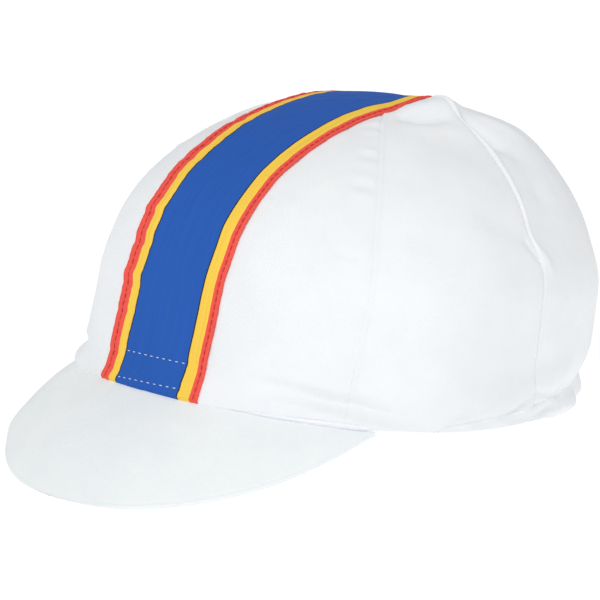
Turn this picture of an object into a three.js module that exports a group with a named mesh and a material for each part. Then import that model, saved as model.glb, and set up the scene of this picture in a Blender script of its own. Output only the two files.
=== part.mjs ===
// Cycling cap: six cotton gores, a striped ribbon, a short peak, a sweatband and an elastic casing.
// Millimetres, +Z up. The peak points to -Y, and the wearer's left is +X.
// The cap rests on the front edge of its peak and on the back of its rim.
// Angles run round the crown from 0 at the front through 90 at the wearer's left to 180 at the back.
// A level runs up the crown from 0 at the rim to 1 at the apex.

import * as THREE from 'three';

// Crown sizes
const rimFrontReach = 83.5;
const rimRearReach = 102;
const rimHalfWidth = 91;
const crownHeight = 111;
const apexSetback = 22.5;
const foreheadLift = 8.4;
const foreheadLiftFade = 3.6;
const sectionSquareness = 2.08;
const crownEyeRadius = 8;

// Crown seams, in degrees from the front
const frontSeamAngle = 51.5;
const rearSeamAngle = 97;

// Cloth
const clothThickness = 1.2;
const pieceGap = 0.3;
const panelPuff = 2.2;
const puffTopLevel = 0.85;
const seamSink = 0.3;
const foldDepth = 2;
const foldWidth = 9;
const foldFadeLevel = 0.86;

// Hem over the peak
const hemStitchHeight = 10;
const hemFlare = 1.2;
const hemGroove = 0.7;
const hemSoftness = 4.5;
const hemFadeAngle = 10;

// Elastic casing round the back of the rim
const casingHeight = 12;
const casingThickness = 2;
const casingEase = 0.8;
const casingFullAngle = 112;
const casingEndShare = 0.1;
const casingGrowth = 0.6;
const casingPucker = 0.7;

// Cloth billowing over the casing, in gathers that fade out before the ribbon
const billowDepth = 1.5;
const billowTuck = 0.5;
const billowHeight = 9;
const billowFade = 4.5;
const gatherDepth = 1.2;
const gatherFade = 22;
const gathersPerPanel = 6;
const gatherStartShare = 0.12;
const gatherFadeShare = 0.68;
const gatherEndShare = 0.8;

// Ribbon
const ribbonWidth = 53.7;
const ribbonThickness = 1;
const ribbonEase = 0.6;
const ribbonSink = 2.2;
const ribbonRearSink = 3.9;
const rearSinkRun = 33;
const rearSinkLevel = 0.4;
const ribbonSinkWidth = 71;

// Sweatband
const bandHeight = 24;
const bandThickness = 1.2;
const bandEndAngle = 4;

// Peak
const peakHalfAngle = 57;
const peakReach = 53;
const peakTipReach = 1.5;
const peakThickness = 1.6;
const peakDropMiddle = 40.3;
const peakDropEnd = 42;
const peakFan = 0.9;
const peakRoundness = 1.93;
const peakFullness = 1.08;
const peakBow = 2.7;

// Depth of cloth that lies flat where the cap rests
const floorPress = 1.4;

// Share of the side panels that the casing runs into, from the rear seams
const casingSideShare = 0.5;

// Length of cloth from rim to apex, as a share of the crown's height
const climbPerHeight = 1.6;

// Mesh steps
const levelSteps = 17;
const levelCrowding = 1.2;
const frontSteps = 10;
const sideSteps = 10;
const gatherSteps = 4;
const casingRows = 3;
const ribbonColumns = 6;
const ribbonRows = 50;
const ribbonTraceSteps = 60;
const peakRows = 6;
const leastTurn = 1;
const tinyAngle = 0.001;
const slopeAngle = 0.01;
const slopeClimb = 0.004;

// Crown sections from rim to apex: the rise is a share of the crown's height,
// and the reaches are shares of the rim's own reach to that side
const sections = [
  { rise: 0, front: 1, rear: 1, side: 1 },
  { rise: 0.11, front: 1.004, rear: 0.981, side: 0.997 },
  { rise: 0.27, front: 1.004, rear: 0.982, side: 0.988 },
  { rise: 0.45, front: 0.993, rear: 0.963, side: 0.981 },
  { rise: 0.63, front: 0.94, rear: 0.836, side: 0.891 },
  { rise: 0.78, front: 0.795, rear: 0.677, side: 0.741 },
  { rise: 0.9, front: 0.566, rear: 0.482, side: 0.527 },
  { rise: 0.975, front: 0.296, rear: 0.25, side: 0.301 },
  { rise: 1, front: 0, rear: 0, side: 0 },
];

// Folds, dents and full places of the cloth: each runs between two places, given as an angle and a level.
// Its depth is a share of the fold depth, outward positive, and its width a share of the fold width.
const folds = [
  // Tuck over the left peak end
  { from: [36, 0.13], to: [64, 0.05], depth: -0.7, width: 0.7 },
  // Roll under that tuck
  { from: [44, 0.03], to: [62, 0], depth: 0.6, width: 0.8 },
  // Roll over the right peak end
  { from: [-60, 0.02], to: [-34, 0.03], depth: 1.2, width: 0.9 },
  // Shoulder left of the ribbon
  { from: [99, 0.847], to: [126, 0.73], depth: 1.88, width: 2.3 },
  // Ridge beside the ribbon over the left side
  { from: [73, 0.855], to: [106, 0.84], depth: 1.27, width: 0.6 },
  // Hollow behind the left rear seam
  { from: [108, 0.8], to: [108, 0.5], depth: -0.9, width: 1.2 },
  // Hollow before the left front seam
  { from: [74, 0.86], to: [84, 0.72], depth: -0.7, width: 1.2 },
  // Crease low on the left side
  { from: [84, 0.17], to: [112, 0.2], depth: -0.6, width: 0.8 },
  // Hollow behind the right rear seam
  { from: [-112, 0.76], to: [-106, 0.46], depth: -0.8, width: 1.3 },
  // Crease low on the right side
  { from: [-78, 0.16], to: [-104, 0.21], depth: -0.6, width: 0.9 },
  // Sag across the left back
  { from: [138, 0.4], to: [160, 0.33], depth: -0.7, width: 1.3 },
  // Sag across the right back
  { from: [-134, 0.36], to: [-158, 0.42], depth: -0.7, width: 1.3 },
];

// Finishes
const whiteCotton = new THREE.MeshStandardMaterial({ color: 0xf3f4f6, roughness: 0.9, metalness: 0 });
const peakCotton = new THREE.MeshStandardMaterial({ color: 0xeaf0f6, roughness: 0.88, metalness: 0 });
const blueRibbon = new THREE.MeshStandardMaterial({ color: 0x2d55ab, roughness: 0.6, metalness: 0 });
const bandTwill = new THREE.MeshStandardMaterial({ color: 0xf6f6f4, roughness: 0.92, metalness: 0 });

const radians = THREE.MathUtils.degToRad;
const degrees = THREE.MathUtils.radToDeg;
const smoothstep = THREE.MathUtils.smoothstep;

// Equal steps from one value to another
const steps = (from, to, count) =>
  Array.from({ length: count + 1 }, (_, step) => THREE.MathUtils.lerp(from, to, step / count));

// The rows of a panel crowd towards the rim, where the cloth bends most
const rowShares = steps(0, 1, levelSteps).map((share) => share ** levelCrowding);

// A section column at any level, as a smooth curve through the rows.
// Past the apex the rise comes down again, and each reach passes to the other side.
function sectionValue(column, level) {
  const last = sections.length - 1;
  const place = THREE.MathUtils.clamp(level, 0, 1) * last;
  const row = Math.min(Math.floor(place), last - 1);
  const part = place - row;
  const beyond = column === 'rise' ? 1 : -1;
  const before = row > 0 ? sections[row - 1][column] : 2 * sections[0][column] - sections[1][column];
  const start = sections[row][column];
  const end = sections[row + 1][column];
  const after = row + 2 > last ? beyond * sections[last - 1][column] : sections[row + 2][column];
  const bend = 3 * (start - end) + after - before;
  const sweep = 2 * before - 5 * start + 4 * end - after;
  return start + (part * (end - before + part * (sweep + part * bend))) / 2;
}

// The level where a section measure, growing or shrinking with the level, has a wanted value
function levelWhere(measure, wanted, growing) {
  let low = 0;
  let high = 1;
  for (let halving = 0; halving < 40; halving += 1) {
    const middle = (low + high) / 2;
    if (measure(middle) < wanted === growing) low = middle;
    else high = middle;
  }
  return (low + high) / 2;
}

const heightAt = (level) => crownHeight * sectionValue('rise', level);
const halfWidthAt = (level) => rimHalfWidth * sectionValue('side', level);
const levelAtHeight = (height) => levelWhere(heightAt, height, true);
const levelAtHalfWidth = (half) => levelWhere(halfWidthAt, half, false);

// The crown's smooth form, before its seams and folds
function smoothPoint(angle, level) {
  const sine = Math.sin(angle);
  const cosine = Math.cos(angle);
  const rise = sectionValue('rise', level);
  const power = 2 / sectionSquareness;
  const frontReach = rimFrontReach * sectionValue('front', level);
  const rearReach = rimRearReach * sectionValue('rear', level);
  const reach = cosine > 0 ? frontReach : rearReach;
  const lift = foreheadLift * ((1 + cosine) / 2) ** foreheadLiftFade * (1 - rise) ** 2;
  return new THREE.Vector3(
    halfWidthAt(level) * Math.sign(sine) * Math.abs(sine) ** power,
    -reach * Math.sign(cosine) * Math.abs(cosine) ** power + apexSetback * rise,
    crownHeight * rise + lift,
  );
}

function smoothNormal(angle, level) {
  const across = smoothPoint(angle + slopeAngle, level).sub(smoothPoint(angle - slopeAngle, level));
  const up = smoothPoint(angle, level + slopeClimb).sub(smoothPoint(angle, level - slopeClimb));
  const normal = across.cross(up);
  if (normal.length() < tinyAngle) return new THREE.Vector3(0, 0, 1);
  return normal.normalize();
}

// Degrees from the front, to either side
const turnOf = (angle) => Math.abs(degrees(Math.atan2(Math.sin(angle), Math.cos(angle))));

// Where an angle lies between its panel's seams, from 0 to 1
function panelShare(angle) {
  const turn = turnOf(angle);
  if (turn < frontSeamAngle) return turn / frontSeamAngle;
  if (turn < rearSeamAngle) return (turn - frontSeamAngle) / (rearSeamAngle - frontSeamAngle);
  return (turn - rearSeamAngle) / (180 - rearSeamAngle);
}

const casingStartAngle = THREE.MathUtils.lerp(rearSeamAngle, frontSeamAngle, casingSideShare);

// The casing narrows towards the sides, where the elastic ends
function casingTop(angle) {
  const beyond = turnOf(angle) - casingStartAngle;
  if (beyond < -tinyAngle) return 0;
  const share = THREE.MathUtils.clamp(beyond / (casingFullAngle - casingStartAngle), 0, 1);
  return casingHeight * THREE.MathUtils.lerp(casingEndShare, 1, share ** casingGrowth);
}

function puffRelief(angle, level) {
  const window = Math.sin(Math.PI * Math.min(1, level / puffTopLevel));
  return panelPuff * (Math.sin(Math.PI * panelShare(angle)) - seamSink) * window;
}

// Distance on the crown from a place to a fold's line, in millimetres
function foldDistance(fold, angle, level) {
  const middleLevel = (fold.from[1] + fold.to[1]) / 2;
  const scale = new THREE.Vector2(radians(halfWidthAt(middleLevel)), crownHeight * climbPerHeight);
  const start = new THREE.Vector2(...fold.from).multiply(scale);
  const run = new THREE.Vector2(...fold.to).multiply(scale).sub(start);
  const offset = new THREE.Vector2(degrees(angle), level).multiply(scale).sub(start);
  const share = THREE.MathUtils.clamp(offset.dot(run) / run.lengthSq(), 0, 1);
  return offset.addScaledVector(run, -share).length();
}

function foldRelief(angle, level) {
  const fade = 1 - smoothstep(level, foldFadeLevel, 1);
  let total = 0;
  for (const fold of folds) {
    const spread = foldDistance(fold, angle, level) / (foldWidth * fold.width);
    total += fade * foldDepth * fold.depth * Math.exp(-spread * spread);
  }
  return total;
}

// The hem swells below its stitch row over the peak, and the row pulls a groove
function hemRelief(angle, level) {
  const turn = turnOf(angle);
  const window = 1 - smoothstep(turn, peakHalfAngle, peakHalfAngle + hemFadeAngle);
  const height = heightAt(level);
  const swell = hemFlare * Math.exp(-((height / hemSoftness) ** 2));
  const groove = hemGroove * Math.exp(-(((height - hemStitchHeight) / hemSoftness) ** 2));
  return window * (swell - groove);
}

// The ribbon is stitched tight, so the cloth under it lies lower than beside it, most of all behind the apex
function ribbonRelief(angle, level) {
  const place = smoothPoint(angle, level);
  const offset = Math.abs(place.x) / (ribbonSinkWidth / 2);
  const setback = smoothstep(place.y - apexSetback, 0, rearSinkRun);
  const behind = setback * smoothstep(level, rearSinkLevel, puffTopLevel);
  const sink = THREE.MathUtils.lerp(ribbonSink, ribbonRearSink, behind);
  return -sink * Math.exp(-(offset ** 4)) * smoothstep(heightAt(level), 0, hemStitchHeight);
}

// The crown is gathered by the casing and billows over it at the back
function billowRelief(angle, level) {
  const turn = turnOf(angle);
  const rearward = smoothstep(turn, casingStartAngle, casingFullAngle);
  const above = Math.max(0, heightAt(level) - casingTop(angle)) / billowHeight;
  const swell = Math.sin((Math.PI / 2) * Math.min(above, 1));
  const out = THREE.MathUtils.lerp(-billowTuck, 1, swell);
  return rearward * billowDepth * out * (1 - smoothstep(above, 1, billowFade));
}

function gatherRelief(angle, level) {
  if (turnOf(angle) < rearSeamAngle) return 0;
  const share = panelShare(angle);
  const start = smoothstep(share, 0, gatherStartShare);
  const window = start * (1 - smoothstep(share, gatherFadeShare, gatherEndShare));
  const above = Math.max(0, heightAt(level) - casingTop(angle));
  const wave = Math.cos(2 * Math.PI * gathersPerPanel * share);
  return gatherDepth * window * wave * Math.exp(-above / gatherFade);
}

// The crown's outer cloth surface
function crownPoint(angle, level) {
  const signed = Math.atan2(Math.sin(angle), Math.cos(angle));
  const relief =
    puffRelief(signed, level) +
    foldRelief(signed, level) +
    hemRelief(signed, level) +
    ribbonRelief(signed, level) +
    billowRelief(signed, level) +
    gatherRelief(signed, level);
  return smoothPoint(angle, level).addScaledVector(smoothNormal(angle, level), relief);
}

// The inner edge of the crown's cloth at the rim
function innerRimPoint(angle) {
  const across = crownPoint(angle + slopeAngle, 0).sub(crownPoint(angle - slopeAngle, 0));
  const up = crownPoint(angle, rowShares[1]).sub(crownPoint(angle, 0));
  return crownPoint(angle, 0).addScaledVector(across.cross(up).normalize(), -clothThickness);
}

// A point of the peak's upper face: along runs from -1 to 1 between its ends, out from root to edge.
// The root is caught under the crown's edge.
function peakPoint(along, out) {
  const angle = radians(along * peakHalfAngle);
  const root = innerRimPoint(angle);
  root.z -= pieceGap;
  const fullness = (1 - Math.abs(along) ** peakRoundness) ** peakFullness;
  const reach = peakTipReach + (peakReach - peakTipReach) * fullness;
  const fan = peakFan * angle;
  const drop = radians(THREE.MathUtils.lerp(peakDropMiddle, peakDropEnd, along * along));
  const run = new THREE.Vector3(
    Math.sin(fan) * Math.cos(drop),
    -Math.cos(fan) * Math.cos(drop),
    -Math.sin(drop),
  );
  const rise = new THREE.Vector3(
    Math.sin(fan) * Math.sin(drop),
    -Math.cos(fan) * Math.sin(drop),
    Math.cos(drop),
  );
  const bow = peakBow * fullness * Math.sin(Math.PI * out);
  return root.addScaledVector(run, reach * out).addScaledVector(rise, bow);
}

// The floor touches the peak's lower front edge and the back of the rim
const heel = crownPoint(Math.PI, 0);
const toeDrop = radians(peakDropMiddle);
const toe = peakPoint(0, 1);
toe.y += peakThickness * Math.sin(toeDrop);
toe.z -= peakThickness * Math.cos(toeDrop);
const floorSlope = Math.atan2(heel.z - toe.z, heel.y - toe.y);
const floorNormal = new THREE.Vector3(0, -Math.sin(floorSlope), Math.cos(floorSlope));

// Cloth that would lie below the floor is pressed flat on it
function pressOnFloor(point) {
  const height = point.clone().sub(toe).dot(floorNormal);
  if (height < floorPress) point.addScaledVector(floorNormal, floorPress - height);
  return point;
}

// A grid point's normal, from its neighbours: columns run anticlockwise seen from above, rows upwards
function gridNormal(grid, row, column) {
  const lastRow = grid.length - 1;
  const lastColumn = grid[0].length - 1;
  const left = grid[row][Math.max(column - 1, 0)];
  const right = grid[row][Math.min(column + 1, lastColumn)];
  const below = grid[Math.max(row - 1, 0)][column];
  const above = grid[Math.min(row + 1, lastRow)][column];
  return right.clone().sub(left).cross(above.clone().sub(below)).normalize();
}

// A closed wall that follows a grid of points, between two offsets along the grid's normals
function wall(name, grid, inner, outer, material) {
  const rows = grid.length;
  const columns = grid[0].length;
  const positions = [];
  for (const offset of [outer, inner]) {
    grid.forEach((line, row) => {
      line.forEach((point, column) => {
        const place = point.clone().addScaledVector(gridNormal(grid, row, column), offset);
        positions.push(...pressOnFloor(place).toArray());
      });
    });
  }
  const outerAt = (row, column) => row * columns + column;
  const innerAt = (row, column) => rows * columns + outerAt(row, column);
  const faces = [];
  const quad = (a, b, c, d) => faces.push(a, b, c, a, c, d);
  for (let row = 0; row < rows - 1; row += 1) {
    for (let column = 0; column < columns - 1; column += 1) {
      const [right, up] = [column + 1, row + 1];
      quad(outerAt(row, column), outerAt(row, right), outerAt(up, right), outerAt(up, column));
      quad(innerAt(row, column), innerAt(up, column), innerAt(up, right), innerAt(row, right));
    }
  }
  for (let row = 0; row < rows - 1; row += 1) {
    const last = columns - 1;
    quad(outerAt(row, 0), outerAt(row + 1, 0), innerAt(row + 1, 0), innerAt(row, 0));
    quad(outerAt(row + 1, last), outerAt(row, last), innerAt(row, last), innerAt(row + 1, last));
  }
  for (let column = 0; column < columns - 1; column += 1) {
    const last = rows - 1;
    quad(outerAt(0, column + 1), outerAt(0, column), innerAt(0, column), innerAt(0, column + 1));
    quad(outerAt(last, column), outerAt(last, column + 1), innerAt(last, column + 1), innerAt(last, column));
  }
  const geometry = new THREE.BufferGeometry();
  geometry.setAttribute('position', new THREE.Float32BufferAttribute(positions, 3));
  geometry.setIndex(faces);
  geometry.computeVertexNormals();
  const mesh = new THREE.Mesh(geometry, material);
  mesh.name = name;
  return mesh;
}

// Angles of the columns round one side of the rim: a panel and the pieces beside it share them
const frontColumns = steps(0, frontSeamAngle, frontSteps);
const sideColumns = steps(frontSeamAngle, rearSeamAngle, sideSteps);
const rearColumns = steps(rearSeamAngle, 180, gathersPerPanel * gatherSteps);

// Angles from the right side round the front to the left, from those of the left side
const bothSides = (turns) => [...turns.slice(1).map((turn) => -turn).reverse(), ...turns];

// Moves an angle at a seam into its panel by half the gap between neighbours
function clearOfSeam(angle, level, inward) {
  const across = smoothPoint(angle + slopeAngle, level).sub(smoothPoint(angle - slopeAngle, level));
  return angle + (inward * pieceGap * slopeAngle) / across.length();
}

const tipLevel = levelAtHalfWidth(crownEyeRadius);

// Lowest level of a panel: on the rim, or just over the casing at the back
function panelFoot(angle) {
  const top = casingTop(angle);
  return top > 0 ? levelAtHeight(top + casingEase) : 0;
}

function panel(name, columns, side) {
  const turns = side > 0 ? columns : columns.map((turn) => -turn).reverse();
  const grid = rowShares.map((share) =>
    turns.map((turn, column) => {
      const level = THREE.MathUtils.lerp(panelFoot(radians(turn)), tipLevel, share);
      const inward = Number(column === 0) - Number(column === turns.length - 1);
      return crownPoint(clearOfSeam(radians(turn), level, inward), level);
    }),
  );
  return wall(name, grid, -clothThickness, 0, whiteCotton);
}

// One lengthwise line of the ribbon, from the front rim over the top to the casing
function ribbonLine(x) {
  const top = levelAtHalfWidth(Math.abs(x));
  const foot = levelAtHeight(casingHeight + casingEase);
  const power = sectionSquareness / 2;
  const side = x < 0 ? -1 : 1;
  const turnAt = (level) => {
    const share = Math.abs(x) / halfWidthAt(level);
    return Math.asin(Math.min(1, share || 0) ** power);
  };
  const climb = steps(0, Math.PI / 2, ribbonTraceSteps).map((phase) => Math.sin(phase));
  const front = climb.map((share) => {
    const level = top * share;
    return crownPoint(side * turnAt(level), level);
  });
  const rear = climb.slice(0, -1).reverse().map((share) => {
    const level = THREE.MathUtils.lerp(foot, top, share);
    return crownPoint(side * (Math.PI - turnAt(level)), level);
  });
  return new THREE.CatmullRomCurve3([...front, ...rear]).getSpacedPoints(ribbonRows);
}

function ribbon() {
  const lines = steps(-ribbonWidth / 2, ribbonWidth / 2, ribbonColumns).map((x) => ribbonLine(x));
  const grid = lines[0].map((_, row) => lines.map((line) => line[row]));
  return wall('stripe_ribbon', grid, ribbonEase, ribbonEase + ribbonThickness, blueRibbon);
}

// The sweatband lines the rim from one end of the casing round the front to the other
function sweatband() {
  const end = casingStartAngle - bandEndAngle;
  const sideTurns = sideColumns.filter((turn) => turn > frontSeamAngle && turn < end);
  const turns = bothSides([...frontColumns, ...sideTurns]);
  const top = levelAtHeight(bandHeight);
  const panelLevels = rowShares.map((share) => share * tipLevel);
  const levels = [...panelLevels.filter((level) => level < top), top];
  const grid = levels.map((level) => turns.map((turn) => crownPoint(radians(turn), level)));
  const outer = -clothThickness - pieceGap;
  return wall('sweatband', grid, outer - bandThickness, outer, bandTwill);
}

// The casing is puckered by its elastic
function casingPoint(turn, share) {
  const angle = radians(turn);
  const top = casingTop(angle);
  const level = levelAtHeight(top) * share;
  const waves = gathersPerPanel / radians(180 - rearSeamAngle);
  const depth = (casingPucker * top) / casingHeight;
  const pucker = depth * Math.sin(Math.PI * share) * Math.cos(2 * Math.PI * waves * angle);
  return crownPoint(angle, level).addScaledVector(smoothNormal(angle, level), pucker);
}

function rearCasing() {
  const sideTurns = sideColumns.filter((turn) => turn > casingStartAngle + leastTurn && turn < rearSeamAngle);
  const half = [casingStartAngle, ...sideTurns, ...rearColumns];
  const turns = [...half, ...half.slice(0, -1).map((turn) => 360 - turn).reverse()];
  const grid = steps(0, 1, casingRows).map((share) => turns.map((turn) => casingPoint(turn, share)));
  return wall('rear_casing', grid, -casingThickness, 0, whiteCotton);
}

function peak() {
  const sideTurns = sideColumns.filter((turn) => turn > frontSeamAngle && turn < peakHalfAngle - leastTurn);
  const turns = bothSides([...frontColumns, ...sideTurns, peakHalfAngle]);
  const grid = steps(1, 0, peakRows).map((out) => turns.map((turn) => peakPoint(turn / peakHalfAngle, out)));
  return wall('peak', grid, -peakThickness, 0, peakCotton);
}

const cap = new THREE.Group();
cap.add(
  panel('front_left_panel', frontColumns, 1),
  panel('front_right_panel', frontColumns, -1),
  panel('side_left_panel', sideColumns, 1),
  panel('side_right_panel', sideColumns, -1),
  panel('rear_left_panel', rearColumns, 1),
  panel('rear_right_panel', rearColumns, -1),
  ribbon(),
  sweatband(),
  rearCasing(),
  peak(),
);

// The floor is level, and the origin lies on it under the middle of the cap
cap.rotation.x = -floorSlope;
const box = new THREE.Box3().setFromObject(cap, true);
const middle = box.getCenter(new THREE.Vector3());
cap.position.set(-middle.x, -middle.y, -box.min.z);

export default cap;
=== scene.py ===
# Cycling cap: white cotton gores, a striped ribbon over the top, a short peak, a sweatband
# and a casing for the elastic.
# The cloth surfaces are worked out in millimetres about the crown, with their folds, puckers and gathers,
# and are then laid on the floor in the frame's metres.
# Angles run round the crown from 0 at the front through 90 at the wearer's left to 180 at the back.
# A level runs up the crown from 0 at the rim to 1 at the apex.

import math

import bpy
import numpy as np
from mathutils import Matrix, Vector


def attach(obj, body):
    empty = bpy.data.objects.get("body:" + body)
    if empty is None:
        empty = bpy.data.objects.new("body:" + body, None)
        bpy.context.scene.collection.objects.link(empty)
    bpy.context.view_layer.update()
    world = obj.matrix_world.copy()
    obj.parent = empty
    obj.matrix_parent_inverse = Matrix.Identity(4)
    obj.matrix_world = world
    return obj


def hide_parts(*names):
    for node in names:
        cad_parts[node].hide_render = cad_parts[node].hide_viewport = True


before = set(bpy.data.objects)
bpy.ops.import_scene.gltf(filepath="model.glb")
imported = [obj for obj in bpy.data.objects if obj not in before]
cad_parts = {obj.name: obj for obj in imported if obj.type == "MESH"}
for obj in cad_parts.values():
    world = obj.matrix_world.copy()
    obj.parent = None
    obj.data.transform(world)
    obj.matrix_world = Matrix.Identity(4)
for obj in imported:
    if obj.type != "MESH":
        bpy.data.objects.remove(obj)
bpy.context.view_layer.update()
bpy.ops.object.select_all(action="DESELECT")

# Camera: where it stands, and its turn, dip and roll in degrees
camera_at = (0.76516, -0.68053, 0.30848)
camera_turn = 48.292
camera_dip = 14.385
camera_roll = -2.695
camera_lens = 171.0

# Light
floor_glow = 0.78
backdrop_strength = 0.52

# The crown leans forward onto its peak, and its own frame lies this far from the cap's
rest_lean = -7.078904
rest_shift = np.array([-0.0176, 6.9513, 11.0478])

# Crown sizes
rim_front_reach = 83.5
rim_rear_reach = 102.0
rim_half_width = 91.0
crown_height = 111.0
apex_setback = 22.5
forehead_lift = 8.4
forehead_lift_fade = 3.6
section_squareness = 2.08
front_seam = 51.5
rear_seam = 97.0
crown_eye = 0.6

# Cloth
panel_puff = 2.2
puff_top_level = 0.85
seam_sink = 0.3
cloth_thickness = 0.9
gore_climb = 170.0
floor_clearance = 0.03
outer_floor_clearance = 0.05
fold_depth = 2.0
fold_width = 9.0
fold_fade_level = 0.86
fold_end_share = 0.35
climb_per_height = 1.6
edge_roll = 1.3
cut_edge_angle = 55.0
seam_valley = 0.5
front_seam_valley = 0.3
front_seam_low_valley = 0.07
seam_valley_width = 0.6
ridge_height = 0.8
ridge_width = 0.8
ridge_widening = 0.75
ridge_setback = 0.3
ridge_shift = 0.8
low_ridge_share = 0.25
right_ridge_share = 0.8
front_ridge_height = 0.45
front_ridge_setback = 1.1
slow_ripple = 0.38
quick_ripple = 0.12
edge_ripple = 0.3
edge_ripple_width = 4.0
near_edge_share = 0.35
tuck_drag = 2.6
tuck_drag_levels = (0.4, 0.5)
foot_drag = 3.6
foot_drag_levels = (0.05, 0.36)
tuck_spread = 14.0

# Hem over the peak
hem_stitch_height = 10.0
hem_low_stitch_height = 3.5
hem_flare = 0.8
hem_groove = 0.7
hem_softness = 4.5
hem_fade_angle = 10.0
hem_sag = 1.7
hem_sag_height = 6.0
hem_sag_start = (-48.0, -34.0)
hem_sag_end = (18.0, 34.0)

# Elastic casing and the cloth that billows over it
casing_height = 9.5
casing_thickness = 2.0
casing_thinning = 16.0
casing_thin_share = 0.3
casing_ease = 0.03
casing_start = 74.25
casing_full = 125.0
casing_end_share = 0.03
casing_growth = 0.6
casing_pucker = 0.8
casing_edge_roll = 0.08
casing_rear_roll = 0.8
casing_corner = 124.0
casing_corner_spread = 14.0
casing_corner_drop = 3.0
casing_corner_bulge = 1.7
casing_corner_curl = 2.2
corner_drop_height = 14.0
waist_pinch = 1.4
waist_height = 4.0
billow_depth = 1.5
billow_tuck = 0.5
billow_height = 12.0
billow_fade = 4.5
gather_depth = 1.2
gather_fade = 22.0
gather_wander = 0.16
gather_unevenness = 0.3
gathers_per_panel = 6
gather_start_share = 0.5
gather_fade_share = 0.68
gather_end_share = 0.8

# Ribbon
ribbon_width = 53.7
ribbon_thickness = 0.7
ribbon_ease = 0.35
ribbon_sink = 2.2
ribbon_rear_sink = 3.9
rear_sink_run = 33.0
rear_sink_level = 0.4
ribbon_sink_width = 71.0
far_red_band = 6.5
near_red_band = 3.3
far_yellow_band = 4.5
near_yellow_band = 5.0
dark_line = 0.6
blue_start = far_red_band + far_yellow_band
blue_end = ribbon_width - near_red_band - near_yellow_band
stitch_sink = 0.4
stitch_sink_width = 0.55
ribbon_pucker = 0.3
ribbon_pucker_width = 3.4
far_pull = 1.3
near_pull = 0.35
ribbon_swell = 0.32
ribbon_ripple = 0.12
ribbon_hem_dip = 0.3
ribbon_end_roll = 1.2

# Sweatband
band_height = 24.0
band_thickness = 1.0
band_end_angle = 4.0
band_foot = 0.4
band_radius = 88.0
band_roll_radius = 0.75
band_roll_height = 1.0
lip_show = 1.1
lip_show_turns = (28.0, 50.0)
lip_cover_start = 5.0
lip_cover_end = 0.5
lip_setback = 0.75
lip_hiding = 0.9
lip_lift = 0.35
lip_wander = 0.12
lip_end_share = 0.45

# Peak
peak_half_angle = 58.8
peak_reach = 53.0
peak_tip_reach = 0.8
peak_thickness = 1.6
peak_half_arc = 82.0
peak_drop_middle = 40.3
peak_drop_end = 42.0
peak_fan = 0.9
peak_roundness = 1.93
peak_fullness = 1.155
peak_bow = 2.7
peak_groove = 0.12
peak_groove_inset = 1.1
peak_groove_width = 0.5
piece_gap = 0.3
wall_gauge = 1.2

# Thread: each kind of stitch has its length, pitch and radius
casing_stitch = (2.3, 2.7, 0.17)
edge_stitch = (2.3, 2.7, 0.2)
peek_stitch = (1.5, 3.3, 0.16)
casing_stitch_inset = 1.6
stitched_from = 116.0
stitched_to = 164.0
stitch_seat = 0.35
stitch_bow = 0.6

# Crown sections from rim to apex, as shares of the height and of the rim's reach to each side
section_columns = ("rise", "front", "rear", "side")
sections = np.array(
    [
        (0.0, 1.0, 1.0, 1.0),
        (0.11, 1.004, 0.981, 0.997),
        (0.27, 1.004, 0.982, 0.988),
        (0.45, 0.993, 0.963, 0.981),
        (0.63, 0.94, 0.836, 0.891),
        (0.78, 0.795, 0.677, 0.741),
        (0.9, 0.566, 0.482, 0.527),
        (0.975, 0.296, 0.25, 0.301),
        (1.0, 0.0, 0.0, 0.0),
    ]
)

# Large folds, as in the solids: from and to as angle and level, then the depth outward and the width,
# as shares of the fold depth and the fold width
large_folds = (
    (36, 0.13, 64, 0.05, -0.7, 0.7),
    (44, 0.03, 62, 0.0, 0.6, 0.8),
    (-60, 0.02, -34, 0.03, 1.2, 0.9),
    (99, 0.847, 126, 0.73, 1.88, 2.3),
    (73, 0.855, 106, 0.84, 1.27, 0.6),
    (108, 0.8, 108, 0.5, -0.9, 1.2),
    (74, 0.86, 84, 0.72, -0.7, 1.2),
    (84, 0.17, 112, 0.2, -0.6, 0.8),
    (-112, 0.76, -106, 0.46, -0.8, 1.3),
    (-78, 0.16, -104, 0.21, -0.6, 0.9),
    (138, 0.4, 160, 0.33, -0.7, 1.3),
    (-134, 0.36, -158, 0.42, -0.7, 1.3),
)

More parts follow.
